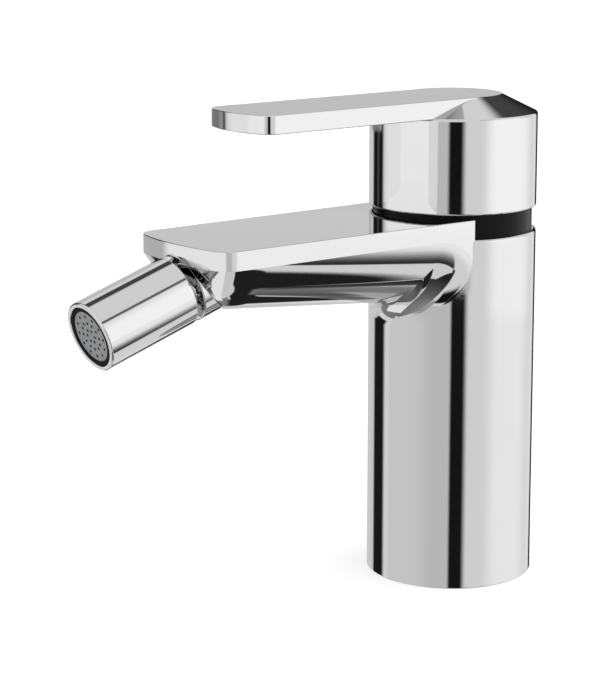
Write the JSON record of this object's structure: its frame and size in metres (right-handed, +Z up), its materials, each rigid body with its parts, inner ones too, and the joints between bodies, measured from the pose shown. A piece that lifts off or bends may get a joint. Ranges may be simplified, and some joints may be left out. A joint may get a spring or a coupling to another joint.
{
  "type": "bidet mixer",
  "caption": "Single-lever bidet mixer: round column, flat-topped spout with a rounded belly, tilting cap lever and a ball-jointed outlet nozzle.",
  "frame": {"origin": "centre of the column's foot, on the deck face", "axes": "+Z up along the column's axis, spout and lever along -Y, +X to the right of a person who faces the spout"},
  "size_m": [0.046, 0.1435, 0.1337],
  "materials": {
    "chrome": "mirror-polished chrome plate",
    "black_plastic": "satin moulded",
    "grey_plastic": "satin moulded",
    "white_plastic": "moulded acetal",
    "rubber": "moulded",
    "ceramic": "lapped alumina",
    "brass": "turned",
    "steel": "turned stainless"
  },
  "bodies": {
    "mixer": {"body": "chrome", "base_seal": "rubber", "shroud_ring": "black_plastic", "cartridge_nut": "brass", "cartridge_housing": "white_plastic", "housing_oring": "rubber", "cartridge_base": "white_plastic", "port_seals": "rubber", "fixed_disc": "ceramic", "retaining_ring": "chrome", "ball_seat": "white_plastic"},
    "turret": {"rotor": "white_plastic", "pivot_pin": "steel"},
    "lever": {"handle": "chrome", "stem": "brass", "set_screw": "steel", "screw_plug": "grey_plastic"},
    "slider": {"disc_carrier": "white_plastic", "moving_disc": "ceramic"},
    "swivel": {"friction_ring": "white_plastic"},
    "nozzle": {"nozzle_shell": "chrome", "swivel_ball": "chrome", "aerator_seal": "rubber", "aerator_housing": "black_plastic", "diffuser_plate": "white_plastic", "mesh_screens": "steel", "jet_disc": "grey_plastic"}
  },
  "joints": [
    {"name": "handle_turn", "type": "hinge", "parent": "mixer", "child": "turret", "pos_m": [0, 0, 0.097], "axis": [0, 0, 1], "range_deg": [-35, 35]},
    {"name": "handle_lift", "type": "hinge", "parent": "turret", "child": "lever", "pos_m": [0, 0, 0.097], "axis": [-1, 0, 0], "range_deg": [0, 14]},
    {"name": "disc_slide", "type": "slide", "parent": "turret", "child": "slider", "axis": [0, -1, 0], "range_m": [0, 0.0037]},
    {"name": "nozzle_swing", "type": "hinge", "parent": "mixer", "child": "swivel", "pos_m": [0, -0.0864, 0.09166], "axis": [0, -0.309, 0.9511], "range_deg": [-8, 8]},
    {"name": "nozzle_tilt", "type": "hinge", "parent": "swivel", "child": "nozzle", "pos_m": [0, -0.0864, 0.09166], "axis": [1, 0, 0], "range_deg": [-8, 8]}
  ],
  "couplings": [
    {"joint": "disc_slide", "follows": "handle_lift", "m_per_rad": 0.015}
  ]
}
